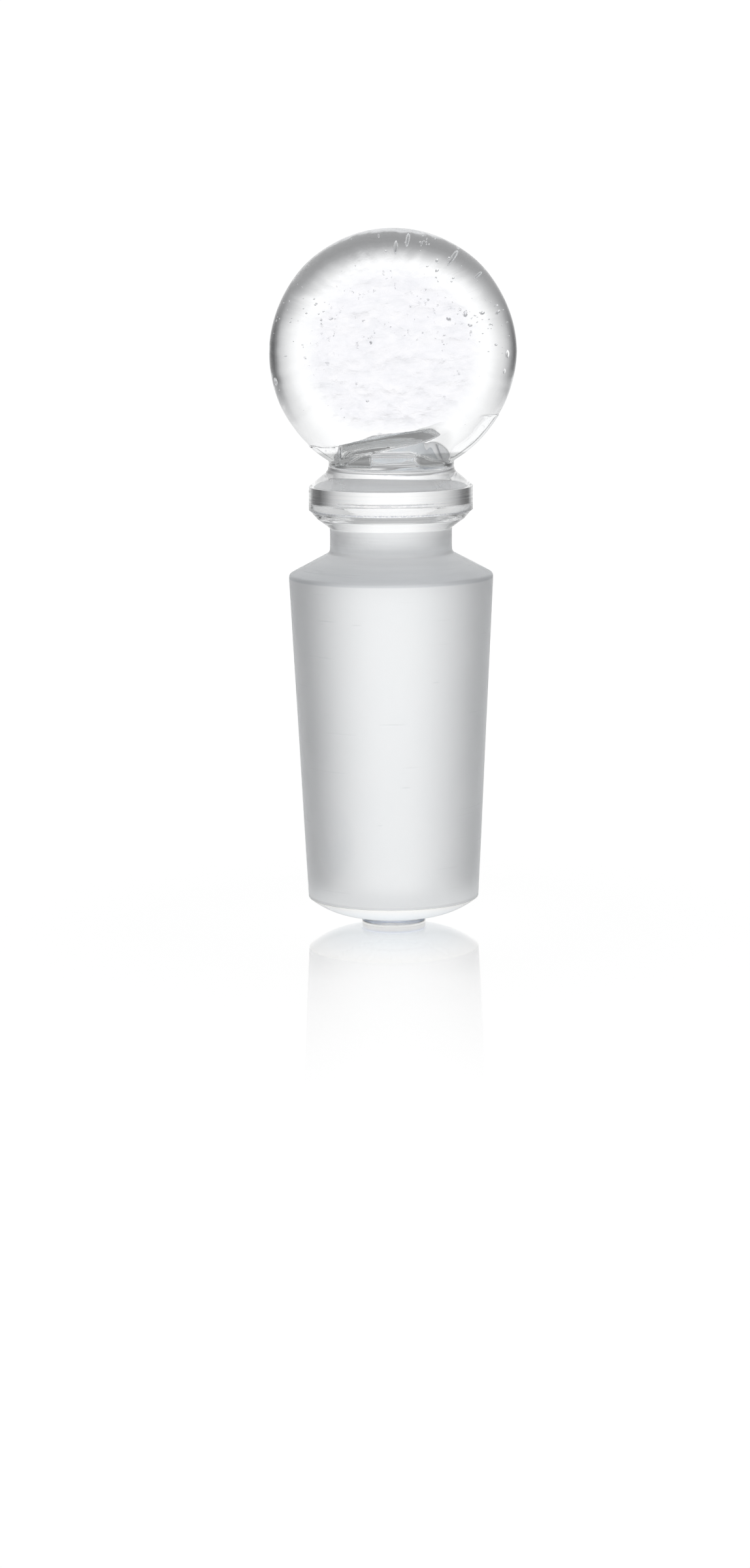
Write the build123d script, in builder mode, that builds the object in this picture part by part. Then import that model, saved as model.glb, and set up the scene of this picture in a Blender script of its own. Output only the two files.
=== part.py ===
from build123d import *
import os

# Solid ground-glass stopper with a flat round pressed head, standing on its plug end.
# Millimetres, +Z up along the plug's axis, origin at the centre of the small flat it stands on.
# The two faces of the head look along -Y and +Y.
# The stopper is one piece of glass. Each solid here is a zone of it with its own finish,
# and neighbouring zones meet face to face on a plane square to the axis.

os.makedirs("parts", exist_ok=True)

# ---------------------------------------------------------------- driving dimensions
# ground taper: standard 14/23 joint, 1 in 10 on the diameter
JOINT_LARGE_D = 14.5
TAPER = 10.0
GROUND_Z0 = 1.89          # foot of the ground zone
GROUND_Z1 = 24.67         # top of the straight taper, where the rim round starts
RIM_ROUND = 0.60          # round between the taper and the shoulder

# polished end
FOOT_FLAT_R = 2.30        # small flat nub the stopper stands on
NUB_Z = 0.50              # height of the nub below the dome
END_MID = (4.60, 0.96)    # (radius, height) of a point halfway round the dome

# frosted shoulder cone and waist
SHOULDER_Z = 25.11        # height at which the shoulder line meets the large diameter
WAIST_R = 4.345
WAIST_Z0 = 26.66
WAIST_Z1 = 28.41

# turned collar
COLLAR_R = 5.83
COLLAR_UNDER_R = 5.25     # step between the two lathe cuts of the underside
COLLAR_UNDER_Z = 29.07
COLLAR_BAND_Z0 = 29.67
COLLAR_BAND_Z1 = 31.34
COLLAR_TOP_R = 4.60
COLLAR_TOP_Z = 32.41
BAND_BREAK = 0.10         # broken edge at both ends of the band

# neck
NECK_R = 4.46
NECK_GROOVE = 0.10        # depth of the shallow groove left at the fusion line
NECK_TOP_Z = 32.99

# pressed head
HEAD_R = 8.72
HEAD_Z = 40.72            # height of the head's centre
HEAD_T = 5.40             # thickness between the two faces
HEAD_RIM_IN = 3.00        # how far in from the edge the elliptical rim reaches the flat face
BASE_Z = 35.79            # where the sloping shoulders of the head's base run out into its faces
BASE_HALF_X = 4.70
BASE_HALF_Y = 2.55

ground_r1 = JOINT_LARGE_D / 2
ground_r0 = ground_r1 - (GROUND_Z1 - GROUND_Z0) / (2 * TAPER)
print("ground zone: small end diameter", round(2 * ground_r0, 3), "large end diameter", JOINT_LARGE_D)

# ---------------------------------------------------------------- polished end
# A low dome below the ground zone, with a small flat nub in the middle.
with BuildPart() as polished_end:
    with BuildSketch(Plane.XZ):
        with BuildLine():
            Polyline((0, 0), (FOOT_FLAT_R, 0), (FOOT_FLAT_R, NUB_Z))
            ThreePointArc((FOOT_FLAT_R, NUB_Z), END_MID, (ground_r0, GROUND_Z0))
            Polyline((ground_r0, GROUND_Z0), (0, GROUND_Z0), (0, 0))
        make_face()
    revolve(axis=Axis.Z)
polished_end.part.label = "polished_end"

# ---------------------------------------------------------------- ground plug
# The frosted taper with its rounded rim and the frosted shoulder cone above it.
with BuildPart() as ground_plug:
    with BuildSketch(Plane.XZ) as plug_profile:
        with BuildLine():
            Polyline(
                (0, GROUND_Z0),
                (ground_r0, GROUND_Z0),
                (ground_r1, GROUND_Z1),
                (ground_r1, SHOULDER_Z),
                (WAIST_R, WAIST_Z0),
                (0, WAIST_Z0),
                (0, GROUND_Z0),
            )
        make_face()
        # the corner where the shoulder line would meet the large diameter
        rim = plug_profile.vertices().filter_by_position(Axis.Y, SHOULDER_Z - 0.01, SHOULDER_Z + 0.01)
        fillet(rim, radius=RIM_ROUND)
    revolve(axis=Axis.Z)
ground_plug.part.label = "ground_plug"

# ---------------------------------------------------------------- waist
# The frosted groove between the plug's shoulder and the collar.
with BuildPart() as waist:
    with BuildSketch(Plane.XZ):
        with BuildLine():
            Polyline((0, WAIST_Z0), (WAIST_R, WAIST_Z0), (WAIST_R, WAIST_Z1), (0, WAIST_Z1), (0, WAIST_Z0))
        make_face()
    revolve(axis=Axis.Z)
waist.part.label = "waist"

# ---------------------------------------------------------------- collar
# A turned band between two cones. The underside is cut in two passes.
with BuildPart() as collar:
    with BuildSketch(Plane.XZ) as collar_profile:
        with BuildLine():
            Polyline(
                (0, WAIST_Z1),
                (WAIST_R, WAIST_Z1),
                (COLLAR_UNDER_R, COLLAR_UNDER_Z),
                (COLLAR_R - BAND_BREAK, COLLAR_BAND_Z0 - BAND_BREAK),
                (COLLAR_R, COLLAR_BAND_Z0),
                (COLLAR_R, COLLAR_BAND_Z1),
                (COLLAR_R - BAND_BREAK, COLLAR_BAND_Z1 + BAND_BREAK),
                (COLLAR_TOP_R, COLLAR_TOP_Z),
                (0, COLLAR_TOP_Z),
                (0, WAIST_Z1),
            )
        make_face()
    revolve(axis=Axis.Z)
collar.part.label = "collar"

# ---------------------------------------------------------------- fused neck
# A short neck with the shallow groove of the fusion line.
with BuildPart() as fused_neck:
    with BuildSketch(Plane.XZ):
        with BuildLine():
            Line((0, COLLAR_TOP_Z), (COLLAR_TOP_R, COLLAR_TOP_Z))
            ThreePointArc(
                (COLLAR_TOP_R, COLLAR_TOP_Z),
                (NECK_R - NECK_GROOVE, COLLAR_TOP_Z + 0.30),
                (NECK_R, NECK_TOP_Z),
            )
            Polyline((NECK_R, NECK_TOP_Z), (0, NECK_TOP_Z), (0, COLLAR_TOP_Z))
        make_face()
    revolve(axis=Axis.Z)
fused_neck.part.label = "fused_neck"

# ---------------------------------------------------------------- pressed head
# A flat round disc standing on edge, fully rounded at its rim, on a base whose shoulders slope
# from the disc's faces out to the round neck.
half_t = HEAD_T / 2
with BuildPart() as pressed_head:
    # half section of the disc, in the XY plane at the height of its centre
    with BuildSketch(Plane.XY.offset(HEAD_Z)):
        with BuildLine():
            Line((0, -half_t), (HEAD_R - HEAD_RIM_IN, -half_t))
            EllipticalCenterArc((HEAD_R - HEAD_RIM_IN, 0), HEAD_RIM_IN, half_t, start_angle=-90, arc_size=180)
            Polyline((HEAD_R - HEAD_RIM_IN, half_t), (0, half_t), (0, -half_t))
        make_face()
    revolve(axis=Axis((0, 0, HEAD_Z), (0, 1, 0)))
    # base with sloping shoulders
    with BuildSketch(Plane.XY.offset(NECK_TOP_Z)):
        Circle(NECK_R)
    with BuildSketch(Plane.XY.offset(BASE_Z)):
        Ellipse(BASE_HALF_X, BASE_HALF_Y)
    loft()
    # the neck starts here
    split(bisect_by=Plane.XY.offset(NECK_TOP_Z), keep=Keep.TOP)
pressed_head.part.label = "pressed_head"

# ---------------------------------------------------------------- write one STEP per zone
export_step(polished_end.part, "parts/polished_end.step")
export_step(ground_plug.part, "parts/ground_plug.step")
export_step(waist.part, "parts/waist.step")
export_step(collar.part, "parts/collar.step")
export_step(fused_neck.part, "parts/fused_neck.step")
export_step(pressed_head.part, "parts/pressed_head.step")

for zone in (polished_end, ground_plug, waist, collar, fused_neck, pressed_head):
    box = zone.part.bounding_box()
    print(zone.part.label, "volume", round(zone.part.volume, 1), "z", round(box.min.Z, 2), "to", round(box.max.Z, 2),
          "half x", round(box.max.X, 3), "half y", round(box.max.Y, 3), "valid", zone.part.is_valid)
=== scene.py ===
import bpy
import math
import numpy as np
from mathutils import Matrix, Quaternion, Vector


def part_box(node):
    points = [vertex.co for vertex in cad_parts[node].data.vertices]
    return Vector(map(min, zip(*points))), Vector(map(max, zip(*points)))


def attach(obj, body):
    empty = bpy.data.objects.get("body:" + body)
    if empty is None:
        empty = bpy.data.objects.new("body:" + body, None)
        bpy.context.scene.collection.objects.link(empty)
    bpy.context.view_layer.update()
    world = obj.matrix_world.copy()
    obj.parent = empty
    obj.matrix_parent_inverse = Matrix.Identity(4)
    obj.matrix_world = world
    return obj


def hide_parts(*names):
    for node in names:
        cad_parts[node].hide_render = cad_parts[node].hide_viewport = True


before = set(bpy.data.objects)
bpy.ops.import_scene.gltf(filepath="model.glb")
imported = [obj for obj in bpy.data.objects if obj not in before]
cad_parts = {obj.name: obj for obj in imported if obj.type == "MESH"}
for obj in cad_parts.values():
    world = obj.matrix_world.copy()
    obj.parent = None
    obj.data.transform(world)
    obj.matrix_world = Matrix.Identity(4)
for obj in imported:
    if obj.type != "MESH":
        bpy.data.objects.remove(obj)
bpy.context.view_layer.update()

MM = 0.001

# Solid ground-glass stopper, made as one closed lattice of glass that is cut into six closed pieces on the planes where its finish
# changes. The lattice runs round the axis in N columns and up it in levels. All lengths below are millimetres until mesh making.

N = 384
TH = np.arange(N) * (2 * math.pi / N)
CT, ST = np.cos(TH), np.sin(TH)


def zr(node):
    lo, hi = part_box(node)
    return lo[2] / MM, hi[2] / MM


FOOT_Z, GROUND_Z = zr("polished_end")
SHOULDER_TOP = zr("ground_plug")[1]
WAIST_TOP = zr("waist")[1]
COLLAR_TOP = zr("collar")[1]
NECK_TOP = zr("fused_neck")[1]
HEAD_TOP = zr("pressed_head")[1]
HEAD_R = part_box("pressed_head")[1][0] / MM
COLLAR_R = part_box("collar")[1][0] / MM
PLUG_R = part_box("ground_plug")[1][0] / MM
END_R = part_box("polished_end")[1][0] / MM
WAIST_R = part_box("waist")[1][0] / MM
HEAD_C = HEAD_TOP - HEAD_R
NECK_R = 4.45
HALF_T = 2.70
RIM_IN = 3.00

# ---------------------------------------------------------------- helpers for shapes


def arc_through(a, b, c, n):
    (ax, ay), (bx, by), (cx, cy) = a, b, c
    d = 2 * (ax * (by - cy) + bx * (cy - ay) + cx * (ay - by))
    ux = ((ax * ax + ay * ay) * (by - cy) + (bx * bx + by * by) * (cy - ay) + (cx * cx + cy * cy) * (ay - by)) / d
    uy = ((ax * ax + ay * ay) * (cx - bx) + (bx * bx + by * by) * (ax - cx) + (cx * cx + cy * cy) * (bx - ax)) / d
    r = math.hypot(ax - ux, ay - uy)
    t0, t1 = math.atan2(ay - uy, ax - ux), math.atan2(cy - uy, cx - ux)
    return [(ux + r * math.cos(t), uy + r * math.sin(t)) for t in np.linspace(t0, t1, n)]


def rounded(points, radii, steps=5):
    """A polyline whose corners are replaced by small arcs. radii has one entry per point."""
    out = [points[0]]
    for i in range(1, len(points) - 1):
        p, a, b = (np.array(points[k], float) for k in (i, i - 1, i + 1))
        u, v = a - p, b - p
        lu, lv = np.linalg.norm(u), np.linalg.norm(v)
        u, v = u / lu, v / lv
        half = math.acos(max(-1, min(1, float(u @ v)))) / 2
        r = radii[i]
        if r <= 0 or abs(half - math.pi / 2) < 0.02:
            out.append(tuple(p))
            continue
        t = min(r / math.tan(half), 0.45 * lu, 0.45 * lv)
        for s in np.linspace(0, 1, steps + 1):
            q = (1 - s) ** 2 * (p + u * t) + 2 * s * (1 - s) * p + s * s * (p + v * t)
            out.append(tuple(q))
    out.append(points[-1])
    return out


def densify(points, step):
    out = [points[0]]
    for a, b in zip(points, points[1:]):
        d = math.hypot(b[0] - a[0], b[1] - a[1])
        if d < 1e-6:
            continue
        n = max(1, int(math.ceil(d / step((a[1] + b[1]) / 2))))
        out += [(a[0] + (b[0] - a[0]) * k / n, a[1] + (b[1] - a[1]) * k / n) for k in range(1, n + 1)]
    return out


def waves(seed, count, lam, spread, slope):
    """A fixed sum of plane ripples in two directions: lam is the range of wavelengths, spread how far each may turn from
    level, slope the typical slope of the whole sum."""
    rng = np.random.RandomState(seed)
    rows = []
    for _ in range(count):
        length = math.exp(rng.uniform(math.log(lam[0]), math.log(lam[1])))
        turn = rng.normal(0, spread)
        k = 2 * math.pi / length
        rows.append((k * math.sin(turn), k * math.cos(turn), rng.uniform(0, 2 * math.pi), slope * math.sqrt(2 / count) / k))

    def f(x, z):
        s = 0.0
        for kx, kz, ph, a in rows:
            s = s + a * np.sin(kx * x + kz * z + ph)
        return s

    return f


def smax(a, b, k):
    h = np.clip(1 - np.abs(a - b) / np.maximum(k, 1e-9), 0, 1)
    return np.maximum(a, b) + k * h * h / 4


def sstep(a, b, x):
    t = np.clip((x - a) / (b - a), 0, 1)
    return t * t * (3 - 2 * t)


# ---------------------------------------------------------------- the turned zones: one line up the side, from the foot to the neck

foot = rounded([(0, FOOT_Z), (2.30, FOOT_Z), (2.27, 0.50), (3.2, 0.60)], [0, 0.10, 0.08, 0])[:-1]
dome = arc_through((2.42, 0.52), (4.60, 0.96), (END_R - 0.02, GROUND_Z - 0.05), 40)
side = rounded(
    [
        (END_R - 0.02, GROUND_Z - 0.05),
        (END_R, GROUND_Z),
        (PLUG_R, 24.67),
        (PLUG_R, 25.11),
        (WAIST_R + 0.10, SHOULDER_TOP - 0.05),
        (WAIST_R, SHOULDER_TOP + 0.14),
        (WAIST_R - 0.02, SHOULDER_TOP + 0.5),
        (WAIST_R - 0.02, WAIST_TOP - 0.30),
        (WAIST_R, WAIST_TOP),
        (5.25, WAIST_TOP + 0.66),
        (COLLAR_R - 0.16, WAIST_TOP + 1.16),
        (COLLAR_R, WAIST_TOP + 1.30),
        (COLLAR_R, COLLAR_TOP - 1.07),
        (COLLAR_R - 0.10, COLLAR_TOP - 0.97),
        (4.62, COLLAR_TOP - 0.06),
        (4.50, COLLAR_TOP + 0.12),
        (4.455, COLLAR_TOP + 0.34),
        (NECK_R, NECK_TOP),
    ],
    [0, 0.03, 0.2, 0.60, 0.30, 0.30, 0.1, 0.1, 0.12, 0.04, 0.03, 0.03, 0.03, 0.03, 0.10, 0.30, 0.30, 0],
    6,
)


def step_at(z):
    if z < GROUND_Z:
        return 0.09
    if z < 24.4:
        return 0.30
    if z < SHOULDER_TOP:
        return 0.07
    if z < WAIST_TOP:
        return 0.09
    return 0.045


line = densify(foot + dome[1:] + side[1:], step_at)
cuts = [GROUND_Z, SHOULDER_TOP, WAIST_TOP, COLLAR_TOP, NECK_TOP]
for c in cuts[:-1]:
    near = [i for i, p in enumerate(line) if abs(p[1] - c) < 4e-3]
    if near:
        line[near[0]] = (line[near[0]][0], c)
        line = [p for i, p in enumerate(line) if i not in near[1:]]
        continue
    for i in range(len(line) - 1):
        if line[i][1] < c < line[i + 1][1]:
            t = (c - line[i][1]) / (line[i + 1][1] - line[i][1])
            line.insert(i + 1, (line[i][0] + t * (line[i + 1][0] - line[i][0]), c))
            break

# the cutter's marks: fine steps round the cones and the band, and a slightly wandering fused neck
lathe = np.random.RandomState(41)
lathe_rows = [(2 * math.pi / math.exp(lathe.uniform(math.log(0.20), math.log(0.75))), lathe.uniform(0, 6.28)) for _ in range(14)]
neck_wave = waves(23, 10, (2.0, 6.0), 0.9, 0.012)
body_wave = waves(29, 8, (5.0, 14.0), 0.8, 0.0015)


def turned_level(r, z):
    rr = np.full(N, r)
    if r > 0.5:
        cut = 0.0
        for k, ph in lathe_rows:
            cut += math.sin(k * z + ph) / k
        on_collar = float(sstep(WAIST_TOP + 0.02, WAIST_TOP + 0.2, z) * (1 - sstep(COLLAR_TOP - 0.25, COLLAR_TOP, z)))
        on_cone = float(sstep(25.0, 25.3, z) * (1 - sstep(SHOULDER_TOP - 0.2, SHOULDER_TOP, z)))
        rr = rr + cut * (0.009 * on_collar + 0.02 * on_cone)
        arc = TH * r
        on_neck = float(sstep(COLLAR_TOP - 0.5, COLLAR_TOP + 0.2, z))
        rr = rr + neck_wave(2 * np.sin(TH) * 2.2 + 3 * np.cos(TH), np.full(N, z)) * 1.4 * on_neck * float(1 - sstep(NECK_TOP - 0.3, NECK_TOP, z))
        rr = rr + body_wave(np.sin(TH) * r, np.full(N, z)) * float(1 - sstep(23.5, 24.2, z)) * float(sstep(2.2, 3.2, z))
    return np.stack([rr * CT, rr * ST, np.full(N, z)], 1)


line = [p for i, p in enumerate(line) if i == 0 or p[1] in cuts or math.hypot(p[0] - line[i - 1][0], p[1] - line[i - 1][1]) > 2e-3]
levels = [turned_level(r, z) for r, z in line if r > 1e-6]
level_z = [z for r, z in line if r > 1e-6]

# ---------------------------------------------------------------- the pressed head: a flat disc on edge, on a base with sloping shoulders

front_fine = waves(3, 60, (0.32, 1.1), 0.80, 0.080)
front_wave = waves(31, 30, (0.7, 2.6), 0.30, 0.045)
back_fine = waves(5, 60, (0.38, 1.3), 0.85, 0.060)
back_wave = waves(37, 30, (0.8, 3.0), 0.35, 0.040)
front_roll = waves(7, 9, (3.0, 9.0), 0.9, 0.022)
back_roll = waves(11, 9, (3.0, 9.0), 0.9, 0.020)
edge_wave = waves(13, 18, (0.5, 2.2), 1.2, 0.12)
edge_wave_b = waves(17, 18, (0.5, 2.2), 1.2, 0.12)
rim_rng = np.random.RandomState(19)
rim_rows = [(h, rim_rng.uniform(0, 6.28), 0.022 / (1 + 0.25 * abs(h - 8))) for h in range(5, 15)]


def rim_r(z):
    """Radius of the disc's outline at that height, a little polygonal as pressed."""
    a = np.arccos(np.clip((z - HEAD_C) / HEAD_R, -1, 1))
    s = 0.0
    for h, ph, amp in rim_rows:
        s = s + amp * np.sin(h * a + ph)
    return HEAD_R + s * 0.6


def head_level(z):
    w_disc = math.sqrt(max(HEAD_R ** 2 - (z - HEAD_C) ** 2, 0.0))
    w = float(smax(np.array(w_disc), np.array(NECK_R if z < 36 else 0.0), 0.10))
    if z < 33.1:
        w = NECK_R + (w - NECK_R) * float(sstep(NECK_TOP, 33.1, z))
    x = w * CT
    sin_abs = np.abs(ST)
    rho = np.sqrt(x ** 2 + (z - HEAD_C) ** 2)
    ang = np.arctan2(x, z - HEAD_C)
    # the rim is narrower at both sides than on top, and rounder right at the left edge
    left = sstep(0.35, 0.85, -np.sin(ang + 0.35))
    crown = sstep(0.2, 0.9, np.cos(ang))
    rim = RIM_IN * (1 + 0.10 * np.cos(ang + 1.9) + 0.04 * np.sin(3 * ang + 0.6) - 0.23 * left - 0.055 * crown)
    u = np.clip((rho - (HEAD_R - rim)) / rim, 0, 1)
    thick = HALF_T * np.sqrt(np.clip(1 - u ** 2, 0, 1))
    # the neck's own round section, which the base grows out of
    round_h = np.sqrt(np.clip(NECK_R ** 2 - x ** 2, 0, None))
    # front: a slanted block over a ledge, with an upright arch between two flanks that lean back
    upper = np.interp(x, [-4.2, -3.45, -2.7, -0.9, 0.1, 1.55, 3.4, 4.2], [34.20, 34.46, 34.66, 34.96, 35.17, 35.44, 36.02, 36.3])
    upper = upper + 0.22 * edge_wave(x, np.full(N, 0.3)) * sstep(-1.5, 0.5, x)
    block = sstep(-3.72, -3.58, x) * (1 - 0.9 * sstep(2.4, 4.4, x))
    first = 2.66 + 0.85 * block * np.clip((upper - z) / 0.95, 0, 1)
    first = np.where(z > upper + 0.05, 0.0, first)
    ledge = np.interp(x, [-4.4, -2.96, -2.86, -1.64, 1.55, 2.9, 4.4], [33.3, 33.60, 33.84, 33.96, 33.96, 33.78, 33.3])
    arch = sstep(-1.52, -1.38, x) * (1 - sstep(1.65, 2.6 - 0.9 * sstep(33.0, 33.5, z), x))
    lean = np.clip(z - NECK_TOP, 0, None)
    second = round_h - arch * 0.24 * lean ** 2 - (1 - arch) * 0.66 * lean
    second = second - np.clip(z - (ledge - 0.30), 0, None) * 2.6
    front_h = smax(first * sin_abs ** 0.35, second, 0.04)
    front_h = np.where((first < 1.0) & (second < 1.8), 0.0, front_h)
    # back: one long slope
    top_b = 35.10 - 0.13 * x + 1.1 * edge_wave_b(x, np.full(N, 0.7))
    back_h = round_h - np.clip(z - 33.42, 0, None) * (NECK_R - 2.5) / (top_b - 33.42)
    shoulder = np.clip(np.where(ST < 0, front_h, back_h), 0, None)
    h = smax(thick, shoulder, 0.07 * sin_abs)
    if z < 33.2:
        h = h + (NECK_R * sin_abs - h) * (1 - float(sstep(NECK_TOP, 33.2, z)))
    smooth = 0.95 + 0.60 * (0.5 + 0.5 * np.cos(ang - 0.5))
    fade = sstep(0, 1, (HEAD_R - smooth - rho) / 2.1) * sin_abs
    fade = np.maximum(fade, 0.05 * sin_abs * float(sstep(34.0, 36.0, z)))
    fade = fade * float(sstep(34.7, 36.2, z))
    zz = np.full(N, z)
    front = front_fine(x, zz) + front_wave(x, zz) + front_roll(x, zz)
    back = back_fine(x, zz) + back_wave(x, zz) + back_roll(x, zz)
    h = h + fade * np.where(ST < 0, front, back)
    scale = 1.0
    if z > 34.0:
        scale = 1 + float((rim_r(z) - HEAD_R) / HEAD_R) * float(sstep(34.0, 36.0, z))
    return np.stack([x * scale, np.sign(ST) * h, np.full(N, z)], 1)


phi0 = math.acos((HEAD_C - NECK_TOP) / HEAD_R)
n_head = 200
for k in range(1, n_head):
    phi = phi0 + (math.pi - phi0) * k / n_head
    z = HEAD_C - HEAD_R * math.cos(phi)
    if z <= NECK_TOP + 0.02:
        continue
    levels.append(head_level(z))
    level_z.append(z)
P = np.array(levels)
ZL = np.array(level_z)
SHIFT = np.interp(ZL, [0, 24.6, 31, 34, 40.7, 49.5], [0.0, 0.0, 0.03, 0.12, 0.26, 0.26])
P[:, :, 0] += SHIFT[:, None]

# normals of the whole skin, so that a cut between two pieces never shows in the shading
dth = np.roll(P, -1, 1) - np.roll(P, 1, 1)
foot_c = np.array([0.0, 0.0, FOOT_Z])
top_c = np.array([float(SHIFT[-1]), 0.0, HEAD_TOP])
below = np.concatenate([np.broadcast_to(foot_c, (1, N, 3)), P[:-1]])
above = np.concatenate([P[1:], np.broadcast_to(top_c, (1, N, 3))])
up, dn = above - P, P - below
lu = np.linalg.norm(up, axis=2, keepdims=True)
ld = np.linalg.norm(dn, axis=2, keepdims=True)
dk = up / np.maximum(lu, 1e-9) ** 1 * ld + dn / np.maximum(ld, 1e-9) * lu
NRM = np.cross(dth, dk)
NRM /= np.maximum(np.linalg.norm(NRM, axis=2, keepdims=True), 1e-12)

# ---------------------------------------------------------------- materials


class Net:
    """Small helper that writes a node tree."""

    def __init__(self, tree):
        self.t = tree
        tree.nodes.clear()

    def add(self, kind, **props):
        n = self.t.nodes.new(kind)
        for k, v in props.items():
            setattr(n, k, v)
        return n

    def put(self, socket, value):
        if isinstance(value, bpy.types.NodeSocket):
            self.t.links.new(value, socket)
        elif value is not None:
            socket.default_value = value

    def math(self, op, a, b=None, c=None, clamp=False):
        n = self.add("ShaderNodeMath", operation=op, use_clamp=clamp)
        self.put(n.inputs[0], a)
        if b is not None:
            self.put(n.inputs[1], b)
        if c is not None:
            self.put(n.inputs[2], c)
        return n.outputs[0]

    def ramp(self, fac, stops, interp="LINEAR"):
        n = self.add("ShaderNodeValToRGB")
        cr = n.color_ramp
        cr.interpolation = interp
        while len(cr.elements) > 1:
            cr.elements.remove(cr.elements[-1])
        cr.elements[0].position = stops[0][0]
        cr.elements[0].color = self.rgba(stops[0][1])
        for pos, col in stops[1:]:
            cr.elements.new(pos).color = self.rgba(col)
        self.put(n.inputs[0], fac)
        return n.outputs[0]

    @staticmethod
    def rgba(c):
        return (c, c, c, 1) if isinstance(c, (int, float)) else (*c, 1)

    def coords(self, scale=(1, 1, 1)):
        tc = self.add("ShaderNodeTexCoord")
        m = self.add("ShaderNodeMapping")
        self.put(m.inputs[0], tc.outputs["Object"])
        m.inputs["Scale"].default_value = scale
        return m.outputs[0]

    def noise(self, vec, scale, detail=3.0, rough=0.55, distortion=0.0):
        n = self.add("ShaderNodeTexNoise")
        self.put(n.inputs["Vector"], vec)
        n.inputs["Scale"].default_value = scale
        n.inputs["Detail"].default_value = detail
        n.inputs["Roughness"].default_value = rough
        n.inputs["Distortion"].default_value = distortion
        return n.outputs[0]

    def bump(self, height, distance, normal=None, strength=1.0):
        n = self.add("ShaderNodeBump")
        n.inputs["Strength"].default_value = strength
        n.inputs["Distance"].default_value = distance
        self.put(n.inputs["Height"], height)
        if normal is not None:
            self.put(n.inputs["Normal"], normal)
        return n.outputs[0]

    def glass(self, color, roughness, normal=None, ior=1.5):
        b = self.add("ShaderNodeBsdfPrincipled")
        out = self.add("ShaderNodeOutputMaterial")
        self.put(b.inputs["Base Color"], color)
        self.put(b.inputs["Roughness"], roughness)
        b.inputs["IOR"].default_value = ior
        b.inputs["Transmission Weight"].default_value = 1.0
        if normal is not None:
            self.put(b.inputs["Normal"], normal)
        self.t.links.new(b.outputs[0], out.inputs[0])
        return b


def material(name):
    m = bpy.data.materials.new(name)
    m.use_nodes = True
    return m, Net(m.node_tree)


# fire-polished glass: the pressed faces keep a pebbled chill texture, the rim and neck are clear
fire, n = material("fire_polished_glass")
co = n.coords()
sep = n.add("ShaderNodeSeparateXYZ")
n.put(sep.inputs[0], co)
dx = n.math("DIVIDE", n.math("SUBTRACT", sep.outputs[0], 0.25 * MM), MM)
dz = n.math("DIVIDE", n.math("SUBTRACT", sep.outputs[2], HEAD_C * MM), MM)
out_by = n.math("SQRT", n.math("ADD", n.math("MULTIPLY", dx, dx), n.math("MULTIPLY", dz, dz)))
uneven = n.noise(co, 520, 3.0, 0.6)
face = n.ramp(n.math("DIVIDE", n.math("ADD", out_by, n.math("MULTIPLY", uneven, 1.2)), 10.0, clamp=True), [(0.0, 1.0), (0.58, 1.0), (0.72, 0.0), (1.0, 0.0)])
face = n.math("MULTIPLY", face, n.ramp(n.math("MULTIPLY", sep.outputs[2], 1 / 0.05, clamp=True), [(0.0, 0.0), (0.695, 0.0), (0.72, 1.0), (1.0, 1.0)]))
chill = n.noise(n.coords((1, 1, 2.0)), 900, 4.0, 0.62, 0.5)
peel = n.noise(co, 2200, 3.0, 0.6, 0.3)
pits = n.add("ShaderNodeTexVoronoi")
n.put(pits.inputs["Vector"], co)
pits.inputs["Scale"].default_value = 900
dent = n.ramp(pits.outputs["Distance"], [(0.0, 0.0), (0.10, 0.8), (0.16, 1.0)])
nb = n.bump(n.math("MULTIPLY", chill, face), 0.000052)
nb = n.bump(n.math("MULTIPLY", peel, face), 0.000007, nb)
nb = n.bump(dent, 0.0000030, nb)
wipe = n.noise(n.coords((1, 1, 0.35)), 260, 4.0, 0.6, 1.2)
rough = n.math("ADD", n.ramp(wipe, [(0.0, 0.0), (0.48, 0.006), (0.62, 0.03), (1.0, 0.075)]), n.math("MULTIPLY", n.ramp(chill, [(0.3, 0.04), (0.7, 0.12)]), face), clamp=True)
# painted shade of the chill texture: the face colour is darker where the chill bump dips and lighter on its rises
chill_shade = n.ramp(chill, [(0.0, (0.72, 0.73, 0.77)), (0.36, (0.845, 0.85, 0.885)), (0.50, (0.915, 0.915, 0.945)), (0.66, (0.965, 0.96, 0.98)), (1.0, (0.99, 0.985, 0.995))])
dust = n.ramp(n.noise(co, 2600, 2.0, 0.5), [(0.0, (0.93, 0.945, 0.95)), (0.30, (0.965, 0.975, 0.98)), (0.36, (0.985, 0.992, 0.997)), (1.0, (0.985, 0.993, 1.0))])
# painted shade: a dark grey is laid into the glass colour on the front of the head's base, along the top edge of the
# slanted block and over the two leaning flanks
xm = n.math("SUBTRACT", n.math("DIVIDE", sep.outputs[0], MM), 0.14)
zm = n.math("DIVIDE", sep.outputs[2], MM)
xr = n.math("DIVIDE", n.math("ADD", xm, 4.5), 9.0, clamp=True)
upper = n.math("MULTIPLY_ADD", n.ramp(xr, [((a + 4.5) / 9, (b - 33) / 4) for a, b in ((-4.2, 34.20), (-3.45, 34.46), (-2.7, 34.66), (-0.9, 34.96), (0.1, 35.17), (1.55, 35.44), (3.4, 36.02))]), 4.0, 33.0)
ragged = n.math("MULTIPLY", n.math("SUBTRACT", n.noise(co, 1500, 3.0, 0.6), 0.5), 0.18)
drop = n.math("ADD", n.math("SUBTRACT", upper, zm), ragged)
band = n.math("MULTIPLY", n.ramp(n.math("DIVIDE", drop, 2.0, clamp=True), [(0.0, 0.0), (0.02, 1.0), (0.40, 0.80), (0.50, 0.0), (1.0, 0.0)]), n.ramp(xr, [(0.0, 0.0), (0.105, 0.0), (0.115, 1.0), (0.70, 1.0), (0.93, 0.0)]))
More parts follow.
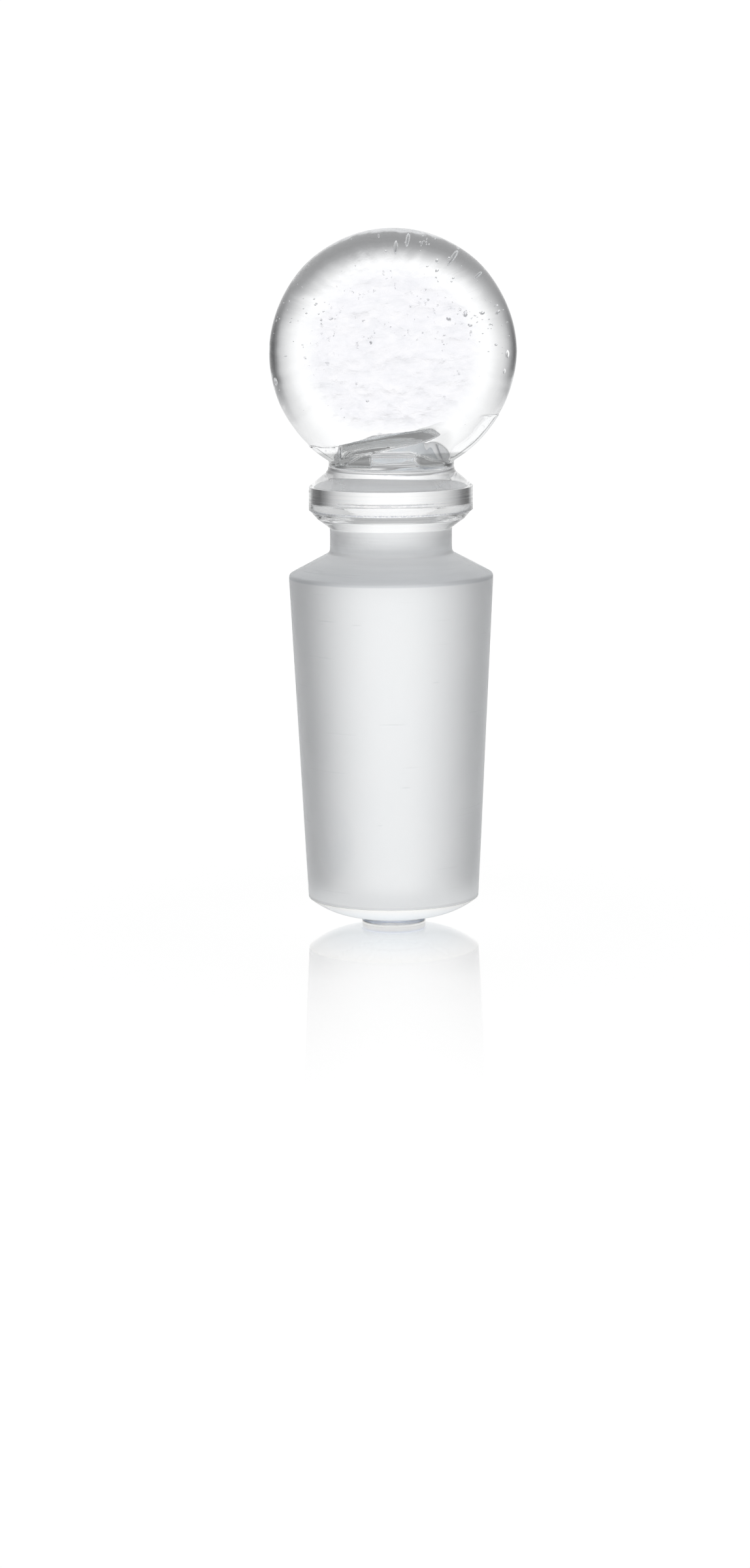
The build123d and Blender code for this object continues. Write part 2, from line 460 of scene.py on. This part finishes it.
flank = n.ramp(xr, [(0.0, 1.0), (0.325, 1.0), (0.345, 0.0), (0.68, 0.0), (0.72, 1.0), (1.0, 1.0)])
flank = n.math("MULTIPLY", flank, n.ramp(n.math("DIVIDE", n.math("SUBTRACT", zm, 32.6), 2.0, clamp=True), [(0.0, 0.0), (0.10, 0.0), (0.16, 0.9), (0.58, 0.9), (0.66, 0.0), (1.0, 0.0)]))
painted_block_shade = n.math("MULTIPLY", n.math("MAXIMUM", band, flank), n.math("LESS_THAN", sep.outputs[1], 0.0))
mix = n.add("ShaderNodeMix", data_type="RGBA")
n.put(mix.inputs["Factor"], face)
n.put(mix.inputs[6], dust)
n.put(mix.inputs[7], chill_shade)
# the painted shade's dark grey is mixed into the face colour here
shade_mix = n.add("ShaderNodeMix", data_type="RGBA")
n.put(shade_mix.inputs["Factor"], painted_block_shade)
n.put(shade_mix.inputs[6], mix.outputs[2])
n.put(shade_mix.inputs[7], (0.36, 0.37, 0.365, 1))
n.glass(shade_mix.outputs[2], rough, nb)

# cut glass of the collar: cutter's rings and a stippled lower edge
cutm, n = material("cut_glass")
ring = n.noise(n.coords((0.05, 0.05, 1.0)), 5200, 4.0, 0.7)
grain = n.noise(n.coords(), 5200, 3.0, 0.6)
nb = n.bump(ring, 0.0000009)
nb = n.bump(grain, 0.0000002, nb)
sep = n.add("ShaderNodeSeparateXYZ")
n.put(sep.inputs[0], n.coords())
stip_at = n.math("SUBTRACT", sep.outputs[2], (WAIST_TOP + 1.30) * MM)
stip_w = n.math("SUBTRACT", 1.0, n.math("DIVIDE", n.math("ABSOLUTE", stip_at), 0.00016), clamp=True)
rough = n.math("ADD", n.math("MULTIPLY", n.ramp(grain, [(0.30, 0.0), (0.62, 0.02), (0.80, 0.08)]), 1.0), n.math("MULTIPLY", stip_w, 0.28), clamp=True)
stip = n.math("MULTIPLY", n.math("SUBTRACT", 1.0, n.math("DIVIDE", n.math("ABSOLUTE", n.math("ADD", stip_at, 0.00004)), 0.00011), clamp=True), n.ramp(n.noise(n.coords(), 7000, 2.0, 0.5), [(0.0, 1.0), (0.46, 1.0), (0.56, 0.15), (1.0, 0.0)]))
tint = n.ramp(ring, [(0.0, (0.88, 0.92, 0.96)), (0.45, (0.955, 0.965, 0.97)), (0.60, (0.985, 0.985, 0.98)), (1.0, (1.0, 0.98, 0.95))])
mix = n.add("ShaderNodeMix", data_type="RGBA")
n.put(mix.inputs["Factor"], n.math("MULTIPLY", stip, 0.9))
n.put(mix.inputs[6], tint)
n.put(mix.inputs[7], (0.34, 0.37, 0.46, 1))
n.glass(mix.outputs[2], rough, nb)

# ground glass: an even frost with level scratches, a cloudy patch and small pits, and painted shade on the shoulder
# cone
ground, n = material("ground_glass")
co = n.coords()
frost = n.noise(co, 9500, 3.0, 0.6)
mottle = n.noise(n.coords((1, 1, 0.8)), 420, 4.0, 0.6)
scr = n.noise(n.coords((0.16, 0.16, 6.0)), 900, 2.0, 0.5, 0.25)
scratch = n.ramp(scr, [(0.0, 0.0), (0.70, 0.0), (0.735, 1.0), (1.0, 1.0)])
sep = n.add("ShaderNodeSeparateXYZ")
n.put(sep.inputs[0], co)


def spot(net, s, x0, z0, wx, wz):
    """1 at the middle of a soft oval on the side towards -Y, 0 outside it. Millimetres."""
    dx = net.math("DIVIDE", net.math("SUBTRACT", s.outputs[0], x0 * MM), wx * MM)
    dz = net.math("DIVIDE", net.math("SUBTRACT", s.outputs[2], z0 * MM), wz * MM)
    q = net.math("ADD", net.math("MULTIPLY", dx, dx), net.math("MULTIPLY", dz, dz))
    fr = net.math("LESS_THAN", s.outputs[1], 0.0)
    return net.math("MULTIPLY", net.math("SUBTRACT", 1.0, q, clamp=True), fr)


marks = spot(n, sep, -4.55, 22.35, 0.75, 0.06)
for m_ in ((-2.45, 22.2, 0.40, 0.06), (0.95, 10.7, 0.42, 0.07), (0.1, 15.2, 1.2, 0.04), (3.1, 18.1, 0.30, 0.05), (-0.9, 8.0, 0.26, 0.05)):
    marks = n.math("MAXIMUM", marks, spot(n, sep, *m_))
patch = n.math("MULTIPLY", spot(n, sep, -3.95, 6.6, 1.4, 2.7), n.ramp(mottle, [(0.36, 0.0), (0.62, 1.0)]))
line_mask = n.math("MAXIMUM", n.math("MULTIPLY", scratch, 0.55), marks)
base = n.ramp(mottle, [(0.0, (0.905, 0.925, 0.94)), (0.40, (0.935, 0.95, 0.96)), (0.65, (0.96, 0.972, 0.98)), (1.0, (0.975, 0.985, 0.99))])
mix = n.add("ShaderNodeMix", data_type="RGBA")
n.put(mix.inputs["Factor"], n.math("MULTIPLY", line_mask, 0.8))
n.put(mix.inputs[6], base)
n.put(mix.inputs[7], (0.78, 0.80, 0.82, 1))
mix2 = n.add("ShaderNodeMix", data_type="RGBA")
n.put(mix2.inputs["Factor"], n.math("MULTIPLY", patch, 0.65))
n.put(mix2.inputs[6], mix.outputs[2])
n.put(mix2.inputs[7], (0.76, 0.79, 0.82, 1))
turned = n.noise(n.coords((0.04, 0.04, 1.0)), 3600, 3.0, 0.6)
on_top = n.math("GREATER_THAN", sep.outputs[2], 24.9 * MM)
mix3 = n.add("ShaderNodeMix", data_type="RGBA")
at_foot = n.math("LESS_THAN", sep.outputs[2], (GROUND_Z + 0.16) * MM)
n.put(mix3.inputs["Factor"], n.math("MAXIMUM", at_foot, n.math("MULTIPLY", on_top, n.ramp(turned, [(0.0, 0.9), (0.40, 0.5), (0.60, 0.0), (1.0, 0.0)]))))
n.put(mix3.inputs[6], mix2.outputs[2])
n.put(mix3.inputs[7], (0.82, 0.835, 0.845, 1))
rough = n.math("ADD", n.ramp(mottle, [(0.2, 0.43), (0.8, 0.50)]), n.math("MULTIPLY", line_mask, 0.12), clamp=True)
nb = n.bump(frost, 0.0000040)
nb = n.bump(line_mask, 0.0000080, nb)
nb = n.bump(n.math("MULTIPLY", turned, on_top), 0.0000040, nb)
# painted shade: the shoulder cone's colour is darkened from 24.8 mm up, most at its foot, fading out by about 26.6 mm
shoulder_shade = n.ramp(n.math("DIVIDE", n.math("SUBTRACT", sep.outputs[2], 24.0 * MM), 4.0 * MM, clamp=True), [(0.0, 1.0), (0.20, 1.0), (0.225, (0.70, 0.715, 0.735)), (0.34, (0.78, 0.795, 0.81)), (0.50, (0.90, 0.91, 0.915)), (0.66, (0.99, 0.99, 0.99)), (1.0, 1.0)])
shoulder_shaded = n.add("ShaderNodeMix", data_type="RGBA", blend_type="MULTIPLY")
shoulder_shaded.inputs["Factor"].default_value = 1.0
n.put(shoulder_shaded.inputs[6], mix3.outputs[2])
n.put(shoulder_shaded.inputs[7], shoulder_shade)
n.glass(shoulder_shaded.outputs[2], rough, nb)

# polished end: clear, with faint lap marks and a painted contact shadow on the nub
polish, n = material("polished_glass")
lap = n.noise(n.coords((1, 1, 1)), 2400, 3.0, 0.6, 0.6)
nb = n.bump(lap, 0.0000020)
rough = n.ramp(n.noise(n.coords(), 700, 4.0, 0.6), [(0.0, 0.01), (0.5, 0.03), (0.75, 0.10), (1.0, 0.16)])
tint = n.ramp(lap, [(0.0, (0.93, 0.96, 0.985)), (0.5, (0.97, 0.985, 0.995)), (1.0, (0.99, 0.995, 1.0))])
sep = n.add("ShaderNodeSeparateXYZ")
n.put(sep.inputs[0], n.coords())
on_nub = n.math("LESS_THAN", sep.outputs[2], 0.50 * MM)
mix = n.add("ShaderNodeMix", data_type="RGBA")
n.put(mix.inputs["Factor"], n.math("MULTIPLY", on_nub, n.ramp(lap, [(0.3, 0.95), (0.7, 0.75)])))
low = n.ramp(n.math("DIVIDE", sep.outputs[2], GROUND_Z * MM, clamp=True), [(0.0, (0.80, 0.90, 1.0)), (0.42, (0.84, 0.93, 1.0)), (0.72, (0.95, 0.98, 1.0)), (0.90, (1.0, 0.985, 0.95)), (1.0, (1.0, 0.96, 0.90))])
cool = n.add("ShaderNodeMix", data_type="RGBA", blend_type="MULTIPLY")
cool.inputs["Factor"].default_value = 1.0
n.put(cool.inputs[6], tint)
n.put(cool.inputs[7], low)
# painted contact shadow: the nub where the stopper stands turns brownish grey at the bottom and dark blue just above
contact_shade = n.ramp(n.math("DIVIDE", sep.outputs[2], 0.50 * MM, clamp=True), [(0.0, (0.60, 0.575, 0.53)), (0.62, (0.56, 0.545, 0.53)), (0.80, (0.36, 0.42, 0.62)), (1.0, (0.36, 0.42, 0.66))])
n.put(mix.inputs[6], cool.outputs[2])
n.put(mix.inputs[7], contact_shade)
n.glass(mix.outputs[2], rough, nb)

# the planes where pieces of the same glass meet: nothing happens to light there
seam, n = material("fused_seam")
clear = n.add("ShaderNodeBsdfTransparent")
clear.inputs["Color"].default_value = (1, 1, 1, 1)
out = n.add("ShaderNodeOutputMaterial")
n.t.links.new(clear.outputs[0], out.inputs[0])

# ---------------------------------------------------------------- meshes


def sphere_void(center, radii, turn, nlon=16, nlat=10):
    """A closed bubble. Its faces look inwards, into the gas."""
    c, s = math.cos(turn), math.sin(turn)

    def at(u, v):
        x, y, z = radii[0] * math.sin(v) * math.cos(u), radii[1] * math.sin(v) * math.sin(u), radii[2] * math.cos(v)
        return (center[0] + c * x + s * z, center[1] + y, center[2] - s * x + c * z)

    vs = [at(0, 0)]
    for i in range(1, nlat):
        vs += [at(2 * math.pi * j / nlon, math.pi * i / nlat) for j in range(nlon)]
    vs.append(at(0, math.pi))
    fs = []
    for j in range(nlon):
        k = (j + 1) % nlon
        fs.append((0, 1 + k, 1 + j))
        for i in range(nlat - 2):
            a, b2 = 1 + i * nlon, 1 + (i + 1) * nlon
            fs.append((a + j, a + k, b2 + k, b2 + j))
        a = 1 + (nlat - 2) * nlon
        fs.append((a + j, a + k, len(vs) - 1))
    return vs, fs


def make_piece(name, z0, z1, mat, first=False, last=False, voids=()):
    idx = np.where((ZL >= z0 - 1e-6) & (ZL <= z1 + 1e-6))[0]
    if last:
        idx = np.where(ZL >= z0 - 1e-6)[0]
    if first:
        idx = np.where(ZL <= z1 + 1e-6)[0]
    q, nr = P[idx], NRM[idx]
    m = len(idx)
    verts = [tuple(v) for v in q.reshape(-1, 3)]
    vn = [tuple(v) for v in nr.reshape(-1, 3)]
    faces, mats, kinds = [], [], []
    for k in range(m - 1):
        for j in range(N):
            j2 = (j + 1) % N
            faces.append((k * N + j, k * N + j2, (k + 1) * N + j2, (k + 1) * N + j))
            mats.append(0)
            kinds.append(0)
    bc = len(verts)
    verts.append((float(q[0, :, 0].mean()), 0.0, float(q[0, 0, 2])))
    vn.append((0, 0, -1))
    tc = len(verts)
    verts.append((float(SHIFT[-1]), 0.0, HEAD_TOP) if last else (float(q[-1, :, 0].mean()), 0.0, float(q[-1, 0, 2])))
    vn.append((0, 0, 1))
    for j in range(N):
        j2 = (j + 1) % N
        faces.append((bc, j2, j))
        mats.append(0 if first else 1)
        kinds.append(0 if first else -1)
        faces.append((tc, (m - 1) * N + j, (m - 1) * N + j2))
        mats.append(0 if last else 1)
        kinds.append(0 if last else 1)
    n_skin = len(faces)
    for void in voids:
        small = max(void[1]) < 0.1
        vs, fs = sphere_void(*void, nlon=10 if small else 16, nlat=6 if small else 10)
        o = len(verts)
        verts += vs
        cx, cy, cz = void[0]
        for v in vs:
            d = np.array([cx - v[0], cy - v[1], cz - v[2]])
            d = d / (np.array(void[1]) ** 2)
            vn.append(tuple(d / np.linalg.norm(d)))
        faces += [tuple(a + o for a in f) for f in fs]
        mats += [0] * len(fs)
        kinds += [2] * len(fs)
    me = bpy.data.meshes.new(name)
    me.from_pydata([(x * MM, y * MM, z * MM) for x, y, z in verts], [], faces)
    me.materials.append(mat)
    me.materials.append(seam)
    me.polygons.foreach_set("material_index", mats)
    me.polygons.foreach_set("use_smooth", [k in (0, 2) for k in kinds])
    me.update()
    ln = []
    for f, kind in zip(faces, kinds):
        if kind in (0, 2):
            ln += [vn[i] for i in f]
        else:
            ln += [(0, 0, kind)] * len(f)
    if not voids:
        me.normals_split_custom_set(ln)
    else:
        skin_loops = sum(len(f) for f in faces[:n_skin])
        ln[skin_loops:] = [(0, 0, 0)] * (len(ln) - skin_loops)
        me.normals_split_custom_set(ln)
    ob = bpy.data.objects.new(name, me)
    bpy.context.collection.objects.link(ob)
    return ob


# seeds and bubbles of the head: long ones drawn out along the radius, round ones, and fine specks
rng = np.random.RandomState(73)


def radial(x, z, y, length, width):
    """A bubble drawn out along the radius of the disc."""
    return ((x, y, z), (length / 2, width * 0.62, width * 0.62), -math.atan2(z - HEAD_C, x))


voids = [
    radial(1.32, 48.42, -1.0, 1.15, 0.24),
    radial(0.50, 47.78, -0.6, 0.80, 0.26),
    radial(0.52, 49.10, -0.2, 0.20, 0.12),
    radial(4.35, 47.10, -0.7, 1.30, 0.26),
    radial(4.72, 47.75, -0.3, 0.34, 0.16),
    radial(6.05, 45.95, -0.9, 0.85, 0.18),
    radial(6.55, 46.35, -0.2, 0.30, 0.14),
    radial(3.05, 48.05, 0.3, 0.34, 0.10),
    radial(-0.60, 48.20, 0.2, 0.26, 0.09),
    radial(2.15, 47.65, 0.4, 0.30, 0.09),
    radial(5.75, 47.0, 0.4, 0.30, 0.08),
    radial(7.62, 40.6, 0.2, 0.16, 0.42),
    radial(7.55, 39.5, -0.2, 0.12, 0.30),
    radial(-7.66, 38.87, -0.5, 0.30, 0.46),
    ((4.15, -1.0, 43.15), (0.17, 0.17, 0.16), 0.0),
    ((5.28, 0.4, 43.42), (0.15, 0.15, 0.17), 0.0),
    ((6.35, -0.6, 43.42), (0.13, 0.12, 0.13), 0.3),
    ((5.68, -0.2, 42.65), (0.12, 0.12, 0.12), 0.4),
    ((7.00, 0.3, 43.25), (0.10, 0.09, 0.16), 0.4),
    ((-1.30, -1.3, 41.55), (0.07, 0.07, 0.09), 0.4),
    ((-2.25, 0.7, 41.35), (0.08, 0.07, 0.07), 0.4),
    ((-4.75, -1.0, 43.10), (0.09, 0.09, 0.10), 0.4),
]
for _ in range(190):
    a, rr_ = rng.uniform(0, 2 * math.pi), 7.9 * math.sqrt(rng.uniform(0.02, 1))
    x_, z_ = rr_ * math.cos(a), HEAD_C + rr_ * math.sin(a)
    keep = rng.uniform()
    if z_ < 35.6 or keep > 0.30 + 0.7 * float(sstep(39, 43, z_)):
        continue
    s_ = 0.026 + 0.050 * rng.uniform() ** 3
    voids.append(((x_, rng.uniform(-1.5, 1.5) * (1 - (rr_ / 8.6) ** 4), z_), (s_ * rng.uniform(0.9, 1.8), s_, s_ * rng.uniform(0.8, 1.3)), rng.uniform(-0.6, 0.6)))

# seeds gathered in small clusters: middle across and up, spread across and up, how many
for cx_, cz_, wx_, wz_, many in (
    (7.0, 42.6, 0.45, 0.9, 20), (4.6, 42.0, 0.9, 0.5, 18), (5.6, 43.3, 0.9, 0.5, 10), (-4.0, 43.7, 0.9, 0.4, 12), (0.0, 46.0, 0.25, 0.3, 7),
    (-2.1, 44.9, 0.5, 0.25, 8), (2.3, 47.9, 0.35, 0.35, 9), (-4.2, 41.6, 0.3, 0.4, 7), (0.2, 42.3, 1.3, 0.6, 9), (-6.4, 43.6, 0.4, 0.8, 6), (1.9, 44.2, 1.2, 0.5, 8),
):
    for _ in range(many):
        x_, z_ = rng.normal(cx_, wx_), rng.normal(cz_, wz_)
        s_ = rng.uniform(0.030, 0.058)
        far = math.hypot(x_, z_ - HEAD_C)
        if far < 8.0:
            voids.append(((x_, rng.uniform(-1.6, 1.2) * (1 - (far / 8.7) ** 4), z_), (s_ * rng.uniform(0.9, 1.6), s_, s_), rng.uniform(-0.5, 0.5)))

pieces = [
    (make_piece("polished_end_glass", FOOT_Z, GROUND_Z, polish, first=True), "polished_end", "polished_glass"),
    (make_piece("ground_plug_glass", GROUND_Z, SHOULDER_TOP, ground), "ground_plug", "ground_glass"),
    (make_piece("waist_glass", SHOULDER_TOP, WAIST_TOP, ground), "waist", "ground_glass"),
    (make_piece("collar_glass", WAIST_TOP, COLLAR_TOP, cutm), "collar", "cut_glass"),
    (make_piece("fused_neck_glass", COLLAR_TOP, NECK_TOP, fire), "fused_neck", "fire_polished_glass"),
    (make_piece("pressed_head_glass", NECK_TOP, HEAD_TOP, fire, last=True, voids=voids), "pressed_head", "fire_polished_glass"),
]
for ob, node, slot in pieces:
    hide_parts(node)
    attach(ob, "root")

# ---------------------------------------------------------------- floor: a pale glossy sheet
fl = bpy.data.meshes.new("floor")
rings = [0.0, 0.004, 0.008, 0.016, 0.03, 0.05, 0.08, 0.13, 0.2, 0.3]
FN = 96
fv = [(0.0, 0.0, -0.00001)]
for r in rings[1:]:
    fv += [(r * math.cos(2 * math.pi * j / FN), r * math.sin(2 * math.pi * j / FN), -0.00001) for j in range(FN)]
ff = [(0, 1 + j, 1 + (j + 1) % FN) for j in range(FN)]
for i in range(len(rings) - 2):
    for j in range(FN):
        a, b2 = 1 + i * FN, 1 + (i + 1) * FN
        ff.append((a + j, b2 + j, b2 + (j + 1) % FN, a + (j + 1) % FN))
fl.from_pydata(fv, [], ff)
floor = bpy.data.objects.new("floor", fl)
bpy.context.collection.objects.link(floor)

BACK = [
    (-180, 0.80), (-162, 0.80), (-146, 0.50), (-125, 0.28), (-112, 0.45), (-102, 0.80), (-78, 0.80), (-70, 0.42), (-62, 0.11),
    (-55, 0.13), (-48.5, 0.21), (-43.5, 0.33), (-38.9, 0.431), (-32.5, 0.606), (-27.2, 0.735), (-20.6, 0.856), (-13.2, 1.01), (-8, 1.08),
    (8, 1.08), (15.4, 0.975), (23.2, 0.794), (27.8, 0.685), (33.2, 0.537), (36.4, 0.407), (39.9, 0.259), (48, 0.11), (64, 0.11), (70, 0.42),
    (78, 0.80), (102, 0.80), (125, 0.28), (180, 0.80),
]


def azimuth(net, x, y):
    return net.math("ADD", net.math("DIVIDE", net.math("ARCTAN2", x, y), 2 * math.pi), 0.5, clamp=True)


def back_light(net, x, y):
    r = net.ramp(azimuth(net, x, y), [((a + 180) / 360, v / 1.25) for a, v in BACK])
    return net.math("MULTIPLY", r, 1.25)


fm, n = material("floor_sheet")
sep = n.add("ShaderNodeSeparateXYZ")
tc = n.add("ShaderNodeTexCoord")
n.put(sep.inputs[0], tc.outputs["Object"])
dist = n.math("SQRT", n.math("ADD", n.math("POWER", sep.outputs[0], 2.0), n.math("POWER", sep.outputs[1], 2.0)))
share = n.ramp(n.math("DIVIDE", dist, 0.06, clamp=True), [(0.0, 0.62), (0.09, 0.60), (0.15, 0.50), (0.22, 0.40), (0.34, 0.20), (0.48, 0.11), (0.66, 0.05), (0.90, 0.0)])
speck = n.ramp(n.noise(n.coords(), 1400, 3.0, 0.6), [(0.0, 0.992), (0.5, 1.0), (1.0, 1.0)])
level = n.math("MULTIPLY", speck, n.math("MULTIPLY_ADD", share, -0.17, 1.015))
lp = n.add("ShaderNodeLightPath")
em = n.add("ShaderNodeEmission")
n.put(em.inputs["Strength"], level)
em.inputs["Color"].default_value = (1, 1, 1, 1)
gl = n.add("ShaderNodeBsdfGlossy")
gl.inputs["Color"].default_value = (1, 1, 1, 1)
gl.inputs["Roughness"].default_value = 0.05
mx = n.add("ShaderNodeMixShader")
n.put(mx.inputs[0], share)
n.t.links.new(em.outputs[0], mx.inputs[1])
n.t.links.new(gl.outputs[0], mx.inputs[2])
clear = n.add("ShaderNodeBsdfTransparent")
near = n.ramp(n.math("DIVIDE", dist, 0.06, clamp=True), [(0.0, 1.0), (0.38, 1.0), (0.56, 0.0), (1.0, 0.0)])
lw = n.add("ShaderNodeLayerWeight")
lw.inputs["Blend"].default_value = 0.5
lit = n.math("MULTIPLY", near, n.ramp(lw.outputs["Facing"], [(0.0, 1.0), (0.55, 1.0), (0.78, 0.0), (1.0, 0.0)]))
px_ = n.math("DIVIDE", sep.outputs[0], 0.026)
py_ = n.math("DIVIDE", n.math("SUBTRACT", sep.outputs[1], 0.041), 0.014)
spread = n.math("SQRT", n.math("ADD", n.math("MULTIPLY", px_, px_), n.math("MULTIPLY", py_, py_)))
pool = n.math("MULTIPLY", n.ramp(spread, [(0.0, 1.0), (0.62, 1.0), (1.0, 0.0)]), n.ramp(lw.outputs["Facing"], [(0.0, 0.0), (0.36, 0.0), (0.42, 1.0), (0.58, 1.0), (0.74, 0.0), (1.0, 0.0)]))
lit = n.math("MAXIMUM", lit, pool)
bounce = n.add("ShaderNodeEmission")
bounce.inputs["Color"].default_value = (0.985, 0.99, 1.0, 1)
bounce.inputs["Strength"].default_value = 0.74
mb = n.add("ShaderNodeMixShader")
n.put(mb.inputs[0], lit)
n.t.links.new(clear.outputs[0], mb.inputs[1])
n.t.links.new(bounce.outputs[0], mb.inputs[2])
mc = n.add("ShaderNodeMixShader")
n.put(mc.inputs[0], lp.outputs["Is Camera Ray"])
n.t.links.new(mb.outputs[0], mc.inputs[1])
n.t.links.new(mx.outputs[0], mc.inputs[2])
out = n.add("ShaderNodeOutputMaterial")
n.t.links.new(mc.outputs[0], out.inputs[0])
fl.materials.append(fm)

# ---------------------------------------------------------------- light: white to the eye, soft cards around the object
world = bpy.data.worlds.new("studio")
bpy.context.scene.world = world
world.use_nodes = True
n = Net(world.node_tree)
tc = n.add("ShaderNodeTexCoord")
sep = n.add("ShaderNodeSeparateXYZ")
n.put(sep.inputs[0], tc.outputs["Generated"])
side_l = back_light(n, sep.outputs[0], sep.outputs[1])
elev = n.math("DIVIDE", n.math("ARCSINE", sep.outputs[2]), math.pi / 2)
down_share = n.ramp(n.math("MULTIPLY", elev, -1.0), [(0.0, 1.0), (6 / 90, 0.97), (10 / 90, 0.82), (15 / 90, 0.55), (20 / 90, 0.31), (25 / 90, 0.12), (32 / 90, 0.02), (40 / 90, 0.0)])
over = n.ramp(elev, [(0.0, 0.0), (5 / 90, 0.05), (12 / 90, 0.35), (25 / 90, 0.80), (40 / 90, 1.0)])
sector = n.ramp(n.math("DIVIDE", n.math("ABSOLUTE", n.math("ARCTAN2", sep.outputs[0], sep.outputs[1])), math.pi, clamp=True), [(0.0, 0.0), (60 / 180, 0.0), (85 / 180, 1.0), (1.0, 1.0)])
steep = n.ramp(n.math("MULTIPLY", elev, -1.0), [(0.0, 0.0), (72 / 90, 0.0), (84 / 90, 1.0), (1.0, 1.0)])
mixv = n.add("ShaderNodeMix", data_type="FLOAT")
n.put(mixv.inputs[0], down_share)
n.put(mixv.inputs[2], n.math("MULTIPLY_ADD", n.math("MAXIMUM", sector, steep), 0.22, 0.27))
n.put(mixv.inputs[3], side_l)
mixw = n.add("ShaderNodeMix", data_type="FLOAT")
n.put(mixw.inputs[0], over)
n.put(mixw.inputs[2], mixv.outputs[0])
mixw.inputs[3].default_value = 1.05
lp = n.add("ShaderNodeLightPath")
mixc = n.add("ShaderNodeMix", data_type="FLOAT")
n.put(mixc.inputs[0], lp.outputs["Is Camera Ray"])
n.put(mixc.inputs[2], mixw.outputs[0])
mixc.inputs[3].default_value = 1.05
bg = n.add("ShaderNodeBackground")
n.put(bg.inputs["Color"], n.ramp(mixc.outputs[0], [(0.0, (0.985, 0.985, 1.0)), (0.35, (0.985, 0.988, 1.0)), (0.85, (1.0, 1.0, 1.0))]))
n.put(bg.inputs["Strength"], mixc.outputs[0])
out = n.add("ShaderNodeOutputWorld")
n.t.links.new(bg.outputs[0], out.inputs[0])

# ---------------------------------------------------------------- camera, close in front and a little above
cam = bpy.data.cameras.new("camera")
cam_o = bpy.data.objects.new("camera", cam)
bpy.context.collection.objects.link(cam_o)
bpy.context.scene.camera = cam_o
cam.sensor_width = 36.0
cam.lens = 86.907
cam.clip_start, cam.clip_end = 0.005, 10.0
cam_o.location = (0.0, -0.268, 0.054)
cam_o.rotation_euler = (math.radians(90 - 9.335), 0.0, math.radians(0.272))
cam_o.rotation_mode = "QUATERNION"
turn = cam_o.rotation_euler.to_quaternion() @ Quaternion((0.0, 0.0, 1.0), math.radians(-0.5))
cam_o.rotation_quaternion = turn

sc = bpy.context.scene
sc.view_settings.view_transform = "Standard"
sc.view_settings.look = "None"
sc.view_settings.exposure = 0.0
sc.view_settings.gamma = 1.0
sc.cycles.max_bounces = 28
sc.cycles.transmission_bounces = 28
sc.cycles.glossy_bounces = 12
sc.cycles.transparent_max_bounces = 64
